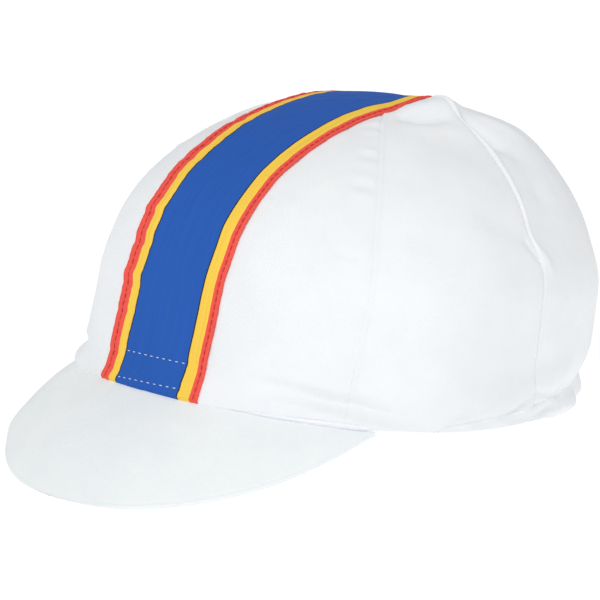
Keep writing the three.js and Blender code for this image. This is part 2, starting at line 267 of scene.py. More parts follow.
# Small creases and puckers: from and to as angle and level, then the depth outward and the width,
# in millimetres
small_folds = (
    # Puckers along the left front seam
    (44.0, 0.8, 50.8, 0.796, 0.5, 1.2),
    (45.5, 0.782, 50.8, 0.779, -0.5, 1.2),
    (44.5, 0.765, 50.8, 0.763, 0.5, 1.2),
    (45.0, 0.702, 50.5, 0.698, 0.5, 1.4),
    (45.5, 0.684, 50.6, 0.68, -0.5, 1.3),
    (45.0, 0.666, 50.8, 0.662, 0.3, 1.3),
    (43.0, 0.628, 50.8, 0.62, 0.4, 1.7),
    (44.0, 0.604, 50.8, 0.596, -0.5, 1.6),
    (45.0, 0.584, 50.8, 0.58, 0.3, 1.5),
    (43.0, 0.446, 48.5, 0.436, -0.5, 1.4),
    # Valley beside the ribbon over the left side gore, and the soft fold below it
    (66.0, 0.824, 86.0, 0.804, -3.0, 3.4),
    (70.0, 0.775, 92.0, 0.745, 0.7, 4.0),
    # Valley behind the left rear seam, and the fold beyond it
    (101.4, 0.785, 105.0, 0.705, -3.4, 3.0),
    (106.0, 0.695, 112.0, 0.655, -0.8, 4.5),
    (112.0, 0.79, 120.0, 0.7, 1.1, 3.0),
    # Soft hollow in front of the left rear seam
    (82.0, 0.535, 94.0, 0.48, -0.7, 4.5),
    # Tuck low on the left rear seam
    (94.5, 0.47, 97.0, 0.425, -1.2, 1.6),
    (98.0, 0.455, 100.0, 0.395, 1.0, 2.2),
    # Fold over the left peak end: its ridge, the valley below it, and the soft bulge at the rim
    (31.0, 0.15, 50.5, 0.122, 0.9, 2.6),
    (53.5, 0.128, 62.0, 0.122, 0.6, 2.4),
    (36.0, 0.102, 50.5, 0.086, -0.7, 1.8),
    (51.5, 0.092, 61.0, 0.072, -1.0, 2.0),
    (34.0, 0.06, 50.0, 0.045, 0.6, 3.2),
    # Diagonal creases low on the left side
    (77.0, 0.018, 82.0, 0.09, -0.7, 2.0),
    (80.0, 0.02, 87.0, 0.1, 0.5, 2.4),
    (90.5, 0.06, 94.0, 0.092, -0.7, 1.2),
    (93.0, 0.055, 97.0, 0.09, 0.5, 1.6),
    (96.0, 0.022, 109.0, 0.05, -0.7, 2.6),
    (96.5, 0.113, 107.0, 0.088, -0.6, 2.0),
    (107.0, 0.092, 116.0, 0.13, -0.8, 2.6),
    (60.0, 0.09, 76.0, 0.13, 0.35, 5.0),
    # Creases on the right side, mirrored only in kind
    (-50.8, 0.74, -44.0, 0.745, 0.5, 1.3),
    (-50.8, 0.72, -45.0, 0.722, -0.5, 1.3),
    (-50.6, 0.62, -43.0, 0.625, 0.6, 1.5),
    (-31.0, 0.14, -50.5, 0.12, 0.7, 2.8),
    (-36.0, 0.105, -60.0, 0.08, -0.7, 2.0),
    (-80.0, 0.03, -90.0, 0.12, -0.6, 2.4),
    (-93.0, 0.07, -103.0, 0.14, 0.6, 2.6),
    (-104.0, 0.15, -124.0, 0.17, -0.7, 3.0),
    (-64.0, 0.8, -90.0, 0.82, -0.9, 3.0),
    (-99.5, 0.78, -102.0, 0.66, -1.3, 3.0),
    (-110.0, 0.78, -116.0, 0.7, 0.8, 3.4),
)


# Form of the crown
def section(column, level):
    """A section column at any level. Past the apex the rise comes down and each reach passes over."""
    row = sections[:, section_columns.index(column)]
    beyond = 1.0 if column == "rise" else -1.0
    padded = np.concatenate([[2 * row[0] - row[1]], row, [beyond * row[-2]]])
    place = np.clip(level, 0.0, 1.0) * (len(row) - 1)
    at = np.minimum(place.astype(int), len(row) - 2)
    part = place - at
    before, start, end, after = (padded[at + step] for step in range(4))
    bend = 3 * (start - end) + after - before
    sweep = 2 * before - 5 * start + 4 * end - after
    return start + part * (end - before + part * (sweep + part * bend)) / 2


fine_levels = np.linspace(0.0, 1.0, 4001)
fine_heights = crown_height * section("rise", fine_levels)
fine_half_widths = rim_half_width * section("side", fine_levels)


def level_at_height(height):
    return np.interp(height, fine_heights, fine_levels)


def smoothstep(value, low, high):
    share = np.clip((value - low) / (high - low), 0.0, 1.0)
    return share * share * (3 - 2 * share)


def hill(distance, width):
    """A soft hill: 1 at no distance, and falling off within the width."""
    return np.exp(-((distance / width) ** 2))


def wrapped(angle):
    """The same angle in radians, between minus and plus half a turn."""
    return np.arctan2(np.sin(angle), np.cos(angle))


def smooth_point(angle, level):
    """The crown's smooth form, before its seams and folds. Angles in radians."""
    sine, cosine = np.sin(angle), np.cos(angle)
    rise = section("rise", level)
    power = 2 / section_squareness
    front_reach = rim_front_reach * section("front", level)
    rear_reach = rim_rear_reach * section("rear", level)
    reach = np.where(cosine > 0, front_reach, rear_reach)
    lift = forehead_lift * ((1 + cosine) / 2) ** forehead_lift_fade * (1 - rise) ** 2
    return np.stack(
        [
            rim_half_width * section("side", level) * np.sign(sine) * np.abs(sine) ** power,
            -reach * np.sign(cosine) * np.abs(cosine) ** power + apex_setback * rise,
            crown_height * rise + lift,
        ],
        axis=-1,
    )


def unit(vectors):
    return vectors / np.maximum(np.linalg.norm(vectors, axis=-1, keepdims=True), 1e-9)


def smooth_normal(angle, level):
    across = smooth_point(angle + 0.01, level) - smooth_point(angle - 0.01, level)
    up = smooth_point(angle, level + 0.004) - smooth_point(angle, level - 0.004)
    normal = np.cross(across, up)
    flat = np.linalg.norm(normal, axis=-1, keepdims=True) < 1e-3
    return np.where(flat, np.array([0.0, 0.0, 1.0]), unit(normal))


def gauge(angle, level):
    """Millimetres of cloth to a radian of angle."""
    across = smooth_point(angle + 0.01, level) - smooth_point(angle - 0.01, level)
    return np.linalg.norm(across, axis=-1) / 0.02


def panel_share(turn):
    """Where a turn in degrees lies between its gore's seams."""
    front = turn / front_seam
    side = (turn - front_seam) / (rear_seam - front_seam)
    rear = (turn - rear_seam) / (180 - rear_seam)
    return np.where(turn < front_seam, front, np.where(turn < rear_seam, side, rear))


def casing_top(turn):
    """The casing's height at a turn in degrees, which is nothing in front of its start."""
    share = np.clip((turn - casing_start) / (casing_full - casing_start), 0.0, 1.0)
    height = casing_height * (casing_end_share + (1 - casing_end_share) * share**casing_growth)
    return np.where(turn < casing_start - 0.05, 0.0, height)


def casing_roll(turn):
    """The edges along the casing's seam are pressed flat at the side and rounder at the back."""
    return casing_edge_roll + (casing_rear_roll - casing_edge_roll) * smoothstep(turn, casing_full, 150)


def crease(angle, level, row, depth_unit, width_unit):
    """One fold: a soft ridge or valley along the line between two places."""
    from_angle, from_level, to_angle, to_level, depth, width = row
    half_width = rim_half_width * section("side", np.array((from_level + to_level) / 2))
    scale = np.array([math.radians(half_width), crown_height * climb_per_height])
    start = np.array([from_angle, from_level]) * scale
    run = np.array([to_angle, to_level]) * scale - start
    offset = np.stack([np.degrees(angle), level], axis=-1) * scale - start
    share = np.clip(offset @ run / (run @ run), 0.0, 1.0)
    spread = np.linalg.norm(offset - share[..., None] * run, axis=-1) / (width_unit * width)
    ends = 1.0
    if width_unit == 1.0:
        ends = fold_end_share + (1 - fold_end_share) * np.sin(np.pi * (0.12 + 0.76 * share))
    return depth_unit * depth * ends * np.exp(-spread * spread)


def drift(values, period, seed):
    """A slow wander along a line, between about -1 and 1."""
    turns = 2 * np.pi * values / period
    return (
        np.sin(turns + 1.7 * seed)
        + 0.6 * np.sin(1.73 * turns + 4.1 * seed + 0.8)
        + 0.4 * np.sin(2.91 * turns + 2.3 * seed + 2.1)
    ) / 2


def gather_wave(angle):
    """Uneven gathers round the back, shared by the casing and the cloth above it."""
    share = panel_share(np.abs(np.degrees(angle)))
    place = gathers_per_panel * share + gather_wander * drift(np.degrees(angle), 37, 3)
    return np.cos(2 * np.pi * place) * (1 + gather_unevenness * drift(np.degrees(angle), 23, 5))


def seam_relief(angle, level):
    """Each sewn seam pulls a narrow valley, and the rear seams carry a ridge where the allowance lies."""
    degrees = np.degrees(angle)
    scale = np.radians(1.0) * gauge(angle, level)
    total = np.zeros_like(degrees)
    for seam in (0.0, front_seam, -front_seam, rear_seam, -rear_seam, 180.0, -180.0):
        off = (degrees - seam) * scale
        valley = seam_valley
        if abs(seam) == front_seam:
            deepening = (front_seam_valley - front_seam_low_valley) * smoothstep(level, 0.15, 0.5)
            valley = front_seam_low_valley + deepening
        total -= valley * np.exp(-((np.abs(off) / seam_valley_width) ** 1.5))
    for side, strength in ((1, 1.0), (-1, right_ridge_share)):
        off = (side * degrees - rear_seam) * scale
        high = smoothstep(level, 0.36, 0.62) * (1 - smoothstep(level, 0.93, 0.98))
        share = low_ridge_share + (1 - low_ridge_share) * high
        width = ridge_width + ridge_widening * smoothstep(level, 0.5, 0.72)
        total += strength * share * ridge_height * hill(off - ridge_setback - ridge_shift * width, width)
        off = (side * degrees - front_seam) * scale
        share = smoothstep(level, 0.08, 0.16)
        total += strength * share * front_ridge_height * hill(off - front_ridge_setback, ridge_width)
    return total


def ripple_relief(angle, level):
    """Faint unevenness of soft cloth, and puckers beside the ribbon's stitching."""
    degrees = np.degrees(angle)
    climb = level * crown_height * climb_per_height
    around = degrees * np.radians(1.0) * rim_half_width
    slow = drift(around + 0.35 * climb, 46, 2) * drift(climb - 0.2 * around, 39, 4)
    quick = drift(around - 0.6 * climb, 17, 6) * drift(climb + 0.3 * around, 21, 9)
    x = smooth_point(angle, level)[..., 0]
    beside = hill(np.abs(x) - ribbon_width / 2 - 1.0, edge_ripple_width)
    beside = beside * np.where(x < 0, 1.0, near_edge_share)
    return slow_ripple * slow + quick_ripple * quick + edge_ripple * beside * drift(climb, 8.5, 7)


def relief(angle, level, fine=True):
    """How far the cloth stands off the smooth form."""
    signed = wrapped(angle)
    turn = np.abs(np.degrees(signed))
    height = crown_height * section("rise", level)
    share = panel_share(turn)
    puffed = np.sin(np.pi * np.minimum(1, level / puff_top_level))
    total = panel_puff * (np.sin(np.pi * share) - seam_sink) * puffed
    fade = 1 - smoothstep(level, fold_fade_level, 1)
    for row in large_folds:
        total = total + fade * crease(signed, level, row, fold_depth, fold_width)
    window = 1 - smoothstep(turn, peak_half_angle, peak_half_angle + hem_fade_angle)
    swell = hem_flare * hill(height, hem_softness)
    groove = hem_groove * hill(height - hem_stitch_height, hem_softness)
    total = total + window * (swell - groove)
    place = smooth_point(angle, level)
    offset = np.abs(place[..., 0]) / (ribbon_sink_width / 2)
    behind = smoothstep(place[..., 1] - apex_setback, 0, rear_sink_run)
    behind = behind * smoothstep(level, rear_sink_level, puff_top_level)
    sink = ribbon_sink + (ribbon_rear_sink - ribbon_sink) * behind
    total = total - sink * np.exp(-(offset**4)) * smoothstep(height, 0, 2 * hem_stitch_height)
    above = np.maximum(0, height - casing_top(turn))
    rearward = smoothstep(turn, casing_start, casing_full)
    out = -billow_tuck + (1 + billow_tuck) * np.sin(np.pi / 2 * np.minimum(above / billow_height, 1))
    total = total + rearward * billow_depth * out * (1 - smoothstep(above / billow_height, 1, billow_fade))
    gathered = smoothstep(share, 0, gather_start_share) * (
        1 - smoothstep(share, gather_fade_share, gather_end_share)
    )
    gathered = np.where(turn < rear_seam, 0.0, gathered)
    total = total + gather_depth * gathered * gather_wave(signed) * np.exp(-above / gather_fade)
    if fine:
        corner = hill(turn - casing_corner, casing_corner_spread)
        small = -waist_pinch * corner * hill(height - casing_top(turn), waist_height)
        for row in small_folds:
            small = small + crease(signed, level, row, 1.0, 1.0)
        small = small + seam_relief(signed, level) + ripple_relief(signed, level)
        # What stands up under the ribbon is left out, since it would come through
        bare = smoothstep(np.abs(place[..., 0]), ribbon_width / 2 - 2.5, ribbon_width / 2 + 1)
        total = total + np.where(small > 0, small * bare, small)
    return total


def seam_swing(angle, level):
    """The tuck on the left rear seam drags the cloth below it backwards, in degrees."""
    beside = hill(np.degrees(angle) - rear_seam, tuck_spread)
    below_tuck = tuck_drag * (1 - smoothstep(level, *tuck_drag_levels))
    at_foot = foot_drag * (1 - smoothstep(level, *foot_drag_levels))
    return (below_tuck + at_foot) * beside


def crown(angle, level, lift=0.0, fine=True):
    """Points of the crown's outer cloth, in millimetres in the crown's own frame."""
    angle, level = np.broadcast_arrays(np.asarray(angle, float), np.asarray(level, float))
    stand = np.asarray(relief(angle, level, fine) + lift)
    if fine:
        angle = angle + np.radians(seam_swing(wrapped(angle), level))
    return smooth_point(angle, level) + smooth_normal(angle, level) * stand[..., None]


def travelled_along(line):
    """The length from a line's start to each of its points."""
    return np.concatenate([[0], np.cumsum(np.linalg.norm(np.diff(line, axis=0), axis=1))])


def along_line(where, travelled, line):
    """The place on a line at each length travelled along it."""
    return np.stack([np.interp(where, travelled, line[:, axis]) for axis in range(3)], -1)


# Placing and meshing
lean = math.radians(rest_lean)
lean_matrix = np.array(
    [[1, 0, 0], [0, math.cos(lean), -math.sin(lean)], [0, math.sin(lean), math.cos(lean)]]
)


def on_floor(points):
    """Crown millimetres to the frame's metres. Cloth that would pass the floor is pressed flat on it."""
    placed = points @ lean_matrix.T + rest_shift
    placed[..., 2] = np.maximum(placed[..., 2], outer_floor_clearance)
    return placed / 1000


def grid_normals(grid):
    across = np.gradient(grid, axis=1)
    up = np.gradient(grid, axis=0)
    return unit(np.cross(across, up))


def hem_sagged(turn, height):
    """How far the front hem hangs down onto the peak, from the right of the ribbon to just past its left."""
    across = smoothstep(turn, *hem_sag_start) * (1 - smoothstep(turn, *hem_sag_end))
    return hem_sag * across * hill(height, hem_sag_height)


def corner_dropped(turn, height):
    """How far the soft hem hangs down at the rear corners of the rim."""
    corner = hill(turn - casing_corner, casing_corner_spread)
    return casing_corner_drop * corner * hill(height, corner_drop_height)


def rolled(distance, radius):
    """How far a cloth edge with a rounded fold dips at a distance from its end."""
    short = np.clip(radius - distance, 0, radius)
    return radius - np.sqrt(radius * radius - short * short)


def lay_cloth(name, grid, cloth_uv, material):
    """A mesh of quads over a grid of points, with a map of the cloth in metres.

    The grid's rows run up and its columns anticlockwise.
    """
    rows, columns = grid.shape[:2]
    points = on_floor(grid).reshape(-1, 3)
    index = np.arange(rows * columns).reshape(rows, columns)
    low, high = index[:-1], index[1:]
    faces = np.stack([low[:, :-1], low[:, 1:], high[:, 1:], high[:, :-1]], -1).reshape(-1, 4)
    mesh = bpy.data.meshes.new(name)
    mesh.from_pydata(points.tolist(), [], faces.tolist())
    layer = mesh.uv_layers.new(name="cloth")
    corner_uv = (cloth_uv.reshape(-1, 2) / 1000)[faces.reshape(-1)]
    layer.data.foreach_set("uv", corner_uv.astype(np.float32).ravel())
    mesh.materials.append(material)
    mesh.shade_smooth()
    mesh.update()
    piece = bpy.data.objects.new(name, mesh)
    bpy.context.scene.collection.objects.link(piece)
    return piece


def finish_with(piece, kind, **settings):
    """Adds a modifier and applies it."""
    modifier = piece.modifiers.new(kind.title(), kind)
    for key, value in settings.items():
        setattr(modifier, key, value)
    bpy.context.view_layer.objects.active = piece
    bpy.ops.object.modifier_apply(modifier=modifier.name)


def thicken(piece, millimetres, **settings):
    """Gives the cloth its wall. What would pass the floor is pressed flat on it."""
    wall = millimetres / 1000
    finish_with(piece, "SOLIDIFY", thickness=wall, offset=-1.0, use_even_offset=False, **settings)
    bpy.ops.object.select_all(action="DESELECT")
    piece.select_set(True)
    bpy.ops.object.shade_smooth_by_angle(angle=math.radians(cut_edge_angle))
    for vertex in piece.data.vertices:
        vertex.co.z = max(vertex.co.z, floor_clearance / 1000)


# Materials
def srgb(code):
    """An sRGB hex colour as linear red, green, blue and alpha."""
    linear = []
    for place in (1, 3, 5):
        share = int(code[place : place + 2], 16) / 255
        linear.append(share / 12.92 if share < 0.04045 else ((share + 0.055) / 1.055) ** 2.4)
    return linear + [1.0]


def new_material(name):
    material = bpy.data.materials.new(name)
    material.use_nodes = True
    material.node_tree.nodes.clear()
    return material


def node(material, kind, inputs=None, **settings):
    """Adds a node with its settings. An input is a value, or a socket to link from."""
    tree = material.node_tree
    made = tree.nodes.new(kind)
    for key, value in settings.items():
        setattr(made, key, value)
    for socket, value in (inputs or {}).items():
        if isinstance(value, bpy.types.NodeSocket):
            tree.links.new(value, made.inputs[socket])
        else:
            made.inputs[socket].default_value = value
    return made


def wave_scale(period_mm):
    """The Wave texture's scale for a period in millimetres on a map in metres."""
    return math.pi / 10 / (period_mm / 1000)


def plain_cotton(name, colour, shade, thread_mm, roughness):
    """Bleached cotton in plain weave: matte, with an even grid of threads and faint shading from handling.

    The threads of such cotton are too fine to show here, so they are drawn coarser.
    """
    made = new_material(name)
    cloth = node(made, "ShaderNodeUVMap", uv_map="cloth").outputs["UV"]
    place = node(made, "ShaderNodeTexCoord").outputs["Object"]
    threads = {"Vector": cloth, "Scale": wave_scale(thread_mm), "Distortion": 0.35}
    warp = node(made, "ShaderNodeTexWave", threads, bands_direction="X").outputs["Fac"]
    weft = node(made, "ShaderNodeTexWave", threads, bands_direction="Y").outputs["Fac"]
    weave = node(made, "ShaderNodeMath", {0: warp, 1: weft}, operation="MAXIMUM").outputs["Value"]
    slub = node(made, "ShaderNodeTexNoise", {"Vector": place, "Scale": 900.0, "Detail": 3.0}).outputs["Fac"]
    patches = {"Vector": place, "Scale": 38.0, "Detail": 4.0, "Roughness": 0.6}
    mottle = node(made, "ShaderNodeTexNoise", patches).outputs["Fac"]
    patchy = {"Value": mottle, "From Min": 0.3, "From Max": 0.75}
    tone = node(made, "ShaderNodeMapRange", patchy).outputs["Result"]
    tones = {"Factor": tone, "A": srgb(colour), "B": srgb(shade)}
    tint = node(made, "ShaderNodeMix", tones, data_type="RGBA").outputs["Result"]
    heights = {0: slub, 1: 0.5, 2: weave}
    height = node(made, "ShaderNodeMath", heights, operation="MULTIPLY_ADD").outputs["Value"]
    bump = node(made, "ShaderNodeBump", {"Height": height, "Strength": 0.28, "Distance": 0.00012})
    finish = {
        "Base Color": tint,
        "Roughness": roughness,
        "Specular IOR Level": 0.25,
        "Sheen Weight": 0.12,
        "Sheen Roughness": 0.5,
        "Normal": bump.outputs["Normal"],
    }
    shader = node(made, "ShaderNodeBsdfPrincipled", finish)
    node(made, "ShaderNodeOutputMaterial", {"Surface": shader.outputs["BSDF"]})
    return made


def woven_ribbon():
    """Polyester ribbon, yarn-dyed in stripes: smooth, with fine cross ribs and lengthwise streaks.

    The ribs of such a ribbon are too fine to show here, so they are drawn coarser.
    """
    made = new_material("woven_polyester_ribbon")
    ribbon_red, ribbon_yellow, ribbon_line_tone, ribbon_blue = "#EC5A4F", "#F4CB50", "#2C2D3C", "#2A5BB0"
    cloth = node(made, "ShaderNodeUVMap", uv_map="cloth").outputs["UV"]
    split = node(made, "ShaderNodeSeparateXYZ", {"Vector": cloth})
    per_width = {0: split.outputs["X"], 1: 1000 / ribbon_width}
    across = node(made, "ShaderNodeMath", per_width, operation="MULTIPLY").outputs["Value"]
    stripes = node(made, "ShaderNodeValToRGB", {"Fac": across})
    ramp = stripes.color_ramp
    ramp.interpolation = "CONSTANT"
    edges = (
        (0.0, ribbon_red),
        (far_red_band, ribbon_yellow),
        (blue_start, ribbon_line_tone),
        (blue_start + dark_line, ribbon_blue),
        (blue_end - dark_line, ribbon_line_tone),
        (blue_end, ribbon_yellow),
        (ribbon_width - near_red_band, ribbon_red),
    )
    for place, (edge, colour) in enumerate(edges):
        stop = ramp.elements[place] if place < 2 else ramp.elements.new(edge / ribbon_width)
        stop.position = edge / ribbon_width
        stop.color = srgb(colour)
    stretch = node(made, "ShaderNodeMapping", {"Vector": cloth, "Scale": (900.0, 24.0, 1.0)})
    yarns = {"Vector": stretch.outputs["Vector"], "Scale": 1.0, "Detail": 3.0}
    streak = node(made, "ShaderNodeTexNoise", yarns).outputs["Fac"]
    streaked = {"Value": streak, "From Min": 0.3, "From Max": 0.7, "To Min": 0.93, "To Max": 1.05}
    gain = node(made, "ShaderNodeMapRange", streaked).outputs["Result"]
    tint = node(made, "ShaderNodeHueSaturation", {"Color": stripes.outputs["Color"], "Value": gain})
    cross_ribs = {"Vector": cloth, "Scale": wave_scale(0.8), "Distortion": 0.4}
    ribs = node(made, "ShaderNodeTexWave", cross_ribs, bands_direction="Y").outputs["Fac"]
    heights = {0: streak, 1: 1.2, 2: ribs}
    height = node(made, "ShaderNodeMath", heights, operation="MULTIPLY_ADD").outputs["Value"]
    bump = node(made, "ShaderNodeBump", {"Height": height, "Strength": 0.3, "Distance": 0.0001})
    finish = {
        "Base Color": tint.outputs["Color"],
        "Roughness": 0.6,
        "Specular IOR Level": 0.05,
        "Normal": bump.outputs["Normal"],
    }
    shader = node(made, "ShaderNodeBsdfPrincipled", finish)
    node(made, "ShaderNodeOutputMaterial", {"Surface": shader.outputs["BSDF"]})
    return made


def twill_tape():
    """Cotton twill tape: white, matte, with fine slanting ribs that are drawn coarser, to show."""
    made = new_material("cotton_twill_tape")
    cloth = node(made, "ShaderNodeUVMap", uv_map="cloth").outputs["UV"]
    slanting = {"Vector": cloth, "Scale": wave_scale(1.1), "Distortion": 0.3}
    ribs = node(made, "ShaderNodeTexWave", slanting, bands_direction="DIAGONAL").outputs["Fac"]
    bump = node(made, "ShaderNodeBump", {"Height": ribs, "Strength": 0.35, "Distance": 0.00015})
    finish = {
        "Base Color": srgb("#EBECF2"),
        "Roughness": 0.9,
        "Specular IOR Level": 0.2,
        "Normal": bump.outputs["Normal"],
    }
    shader = node(made, "ShaderNodeBsdfPrincipled", finish)
    node(made, "ShaderNodeOutputMaterial", {"Surface": shader.outputs["BSDF"]})
    return made


def sewing_thread(name, colour):
    """Spun polyester thread: slightly glossy, its twist seen as slanting ribs."""
    made = new_material(name)
    place = node(made, "ShaderNodeTexCoord").outputs["Object"]
    slanting = {"Vector": place, "Scale": wave_scale(0.5)}
    twist = node(made, "ShaderNodeTexWave", slanting, bands_direction="DIAGONAL").outputs["Fac"]
    bump = node(made, "ShaderNodeBump", {"Height": twist, "Strength": 0.4, "Distance": 0.00008})
    finish = {
        "Base Color": srgb(colour),
        "Roughness": 0.6,
        "Specular IOR Level": 0.35,
        "Normal": bump.outputs["Normal"],
    }
    shader = node(made, "ShaderNodeBsdfPrincipled", finish)
    node(made, "ShaderNodeOutputMaterial", {"Surface": shader.outputs["BSDF"]})
    return made


crown_cotton = plain_cotton("bleached_cotton_crown", "#EBEDEF", "#E5E8EB", 0.9, 0.88)
peak_cotton = plain_cotton("bleached_cotton_peak", "#EBEFF0", "#E4E9EB", 0.9, 0.82)
ribbon_weave = woven_ribbon()
band_tape = twill_tape()
white_thread = sewing_thread("white_polyester_thread", "#E6E9EC")
red_thread = sewing_thread("red_polyester_thread", "#D2362F")


# Gores
def columns_between(width, step):
    """Distances across a gore: close together at its seams, even between them."""
    near = np.array([0.0, 0.18, 0.38, 0.62, 0.92, 1.3, 1.8, 2.4, 3.2, 4.2])
    count = max(2, int((width - 2 * near[-1]) / step))
    middle = np.linspace(near[-1], width - near[-1], count + 1)[1:-1]
    return np.concatenate([near, middle, (width - near)[::-1]]) / width


def gore(name, start, end, node_name):
    middle = np.radians((start + end) / 2)
    rim_width = float(math.radians(abs(end - start)) * gauge(middle, np.array(0.0)))
    shares = columns_between(rim_width, 1.5)
    angles = np.radians(start + (end - start) * shares)[None, :]
    tip = float(np.interp(-crown_eye, -fine_half_widths, fine_levels))
    turns = np.abs(np.degrees(angles))
    at_end = smoothstep(turns, peak_half_angle - lip_cover_start, peak_half_angle - lip_cover_end)
    over_lip = lip_show * smoothstep(turns, *lip_show_turns) * (1 - at_end)
    foot = level_at_height(np.where(casing_top(turns) > 0, casing_top(turns) + casing_ease, over_lip))
    near = np.array([0.0, 0.12, 0.3, 0.55, 0.85, 1.3, 2.0, 3.0]) / gore_climb
    rows = np.concatenate([near, np.linspace(4.3 / gore_climb, 1, 124)])[:, None]
    levels = foot + (tip - foot) * rows
    angles = np.broadcast_to(angles, levels.shape)
    climbed = (levels - foot) * gore_climb
    seam_clear = 0.01 / np.maximum(gauge(angles, levels), 1)
    inward = (shares < 0.001).astype(float) - (shares > 0.999).astype(float)
    on_casing = casing_top(turns) > 0
    front_roll = edge_roll * (1 - 0.9 * smoothstep(turns, casing_start - 4, casing_start))
    roll = np.where(on_casing, rolled(climbed, casing_roll(turns)), rolled(climbed, front_roll))
    grid = crown(angles + np.sign(end - start) * inward * seam_clear, levels, -roll)
    heights = crown_height * section("rise", levels)
    grid[..., 2] -= hem_sagged(np.degrees(angles), heights) + corner_dropped(turns, heights)
    cloth_uv = np.stack(np.broadcast_arrays(shares[None, :] * rim_width, levels * gore_climb), -1)
    piece = lay_cloth(name, grid, cloth_uv, crown_cotton)
    thicken(piece, cloth_thickness)
    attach(piece, "root")
    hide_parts(node_name)
    return piece


for name, start, end, node_name, width, length in (
    ("front_left_gore", 0, front_seam, "front_left_panel", 0.082, 0.17),
    ("front_right_gore", -front_seam, 0, "front_right_panel", 0.082, 0.17),
    ("side_left_gore", front_seam, rear_seam, "side_left_panel", 0.078, 0.17),
    ("side_right_gore", -rear_seam, -front_seam, "side_right_panel", 0.078, 0.17),
    ("rear_left_gore", rear_seam, 180, "rear_left_panel", 0.145, 0.165),
    ("rear_right_gore", -180, -rear_seam, "rear_right_panel", 0.145, 0.165),
):
    gore(name, start, end, node_name)


# Ribbon
def ribbon_base(columns, rows):
    """Lines of the crown at even offsets from its middle, from the front rim over the top to the casing."""
    lines = []
    foot = level_at_height(casing_height + casing_ease)
    phase = np.sin(np.linspace(0, np.pi / 2, 260))
    for x in np.linspace(-ribbon_width / 2, ribbon_width / 2, columns):
        top = float(np.interp(-abs(x), -fine_half_widths, fine_levels))
        front_level = top * phase
        rear_level = (foot + (top - foot) * phase)[::-1][1:]
        levels = np.concatenate([front_level, rear_level])
        half = rim_half_width * section("side", levels)
        turn = np.arcsin(np.clip(abs(x) / np.maximum(half, 1e-6), 0, 1) ** (section_squareness / 2))
        turn = np.where(np.arange(len(levels)) < len(front_level), turn, np.pi - turn)
        line = crown(np.where(x < 0, -turn, turn), levels, 0.0, fine=False)
        travelled = travelled_along(line)
        lines.append(along_line(np.linspace(0, travelled[-1], rows), travelled, line))
    return np.stack(lines, 1)


ribbon_columns = 75
ribbon_rows = 300
base = ribbon_base(ribbon_columns, ribbon_rows)
ribbon_length = float(travelled_along(base[:, ribbon_columns // 2])[-1])
along = np.linspace(0, ribbon_length, ribbon_rows)[:, None]
over = np.linspace(0, ribbon_width, ribbon_columns)[None, :]
from_edge = np.minimum(over, ribbon_width - over)
far_side = over < ribbon_width / 2
red_band = np.where(far_side, far_red_band, near_red_band)
pull = np.where(far_side, far_pull, near_pull)
from_stitches = from_edge - red_band / 2
stitched = hill(from_stitches, stitch_sink_width)
pucker = hill(from_stitches, ribbon_pucker_width) * drift(along, 6.5, 8) * (0.8 + 0.5 * drift(along, 31, 1))
hem_dip = hill(along - hem_stitch_height - 2, 1.0) + hill(along - hem_low_stitch_height, 1.0)
swells = ribbon_swell * drift(along + 0.4 * over, 34, 3) + ribbon_ripple * drift(along - 0.8 * over, 15, 5)
ribbon_relief = (
    ribbon_ease
    + ribbon_thickness
    - stitch_sink * stitched
    + ribbon_pucker * pull * pucker
    + swells * np.sin(np.pi * over / ribbon_width)
    - ribbon_hem_dip * hem_dip * (from_edge > red_band)
    - 0.35 * rolled(from_edge, 0.8)
    - rolled(along, ribbon_end_roll)
    - rolled(ribbon_length - along, ribbon_end_roll)
)
far_sway = 0.6 * drift(along, 23, 4) + 0.45 * drift(along, 9, 2)
near_sway = 0.3 * drift(along, 41, 6)
sway = np.where(far_side, far_sway, near_sway)
calm = 1 - 0.6 * smoothstep(along, 0.55 * ribbon_length, 0.75 * ribbon_length)
sway = sway * calm * (1 - smoothstep(from_edge, 6, 20))
ribbon_grid = base + unit(np.gradient(base, axis=1)) * sway[..., None]
ribbon_normals = grid_normals(np.flip(base, 1)) * -1.0
ribbon_grid = ribbon_grid + ribbon_normals * ribbon_relief[..., None]
ribbon_grid[..., 2] -= hem_sagged(0.0, along)
ribbon_uv = np.stack(np.broadcast_arrays(over, along), -1)
ribbon = lay_cloth("striped_ribbon", ribbon_grid, ribbon_uv, ribbon_weave)
thicken(ribbon, ribbon_thickness)
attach(ribbon, "root")
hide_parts("stripe_ribbon")


# Casing
def rim_angles(start, end, step):
    return np.radians(np.linspace(start, end, int(abs(end - start) / step) + 1))[None, :]


casing_angles = rim_angles(casing_start, 360 - casing_start, 0.7)
casing_turn = np.abs(np.degrees(wrapped(casing_angles)))
casing_row_runs = [np.linspace(0, 0.12, 5), np.linspace(0.16, 0.84, 12), np.linspace(0.88, 1, 5)]
casing_rows = np.concatenate(casing_row_runs)[:, None]
casing_climb = casing_top(casing_turn) * casing_rows
casing_levels = level_at_height(casing_climb)
casing_swell = casing_pucker * casing_top(casing_turn) / casing_height * np.sin(np.pi * casing_rows)
corner = hill(casing_turn - casing_corner, casing_corner_spread)
casing_foot_roll = np.clip(casing_top(casing_turn) / casing_height, 0.05, 1.0)
casing_lift = (
    casing_swell * gather_wave(wrapped(casing_angles))
    + casing_corner_bulge * corner * np.sin(np.pi * (0.12 + 0.88 * casing_rows))
    - casing_corner_curl * corner * (1 - smoothstep(casing_rows, 0.0, 0.4))
    - rolled(casing_climb, casing_foot_roll)
    - rolled(casing_top(casing_turn) - casing_climb, casing_roll(casing_turn))
)
casing_grid = crown(casing_angles, casing_levels, casing_lift)
casing_grid[..., 2] -= corner_dropped(casing_turn, casing_climb)
casing_uv = np.stack(np.broadcast_arrays(casing_angles * rim_half_width, casing_climb), -1)
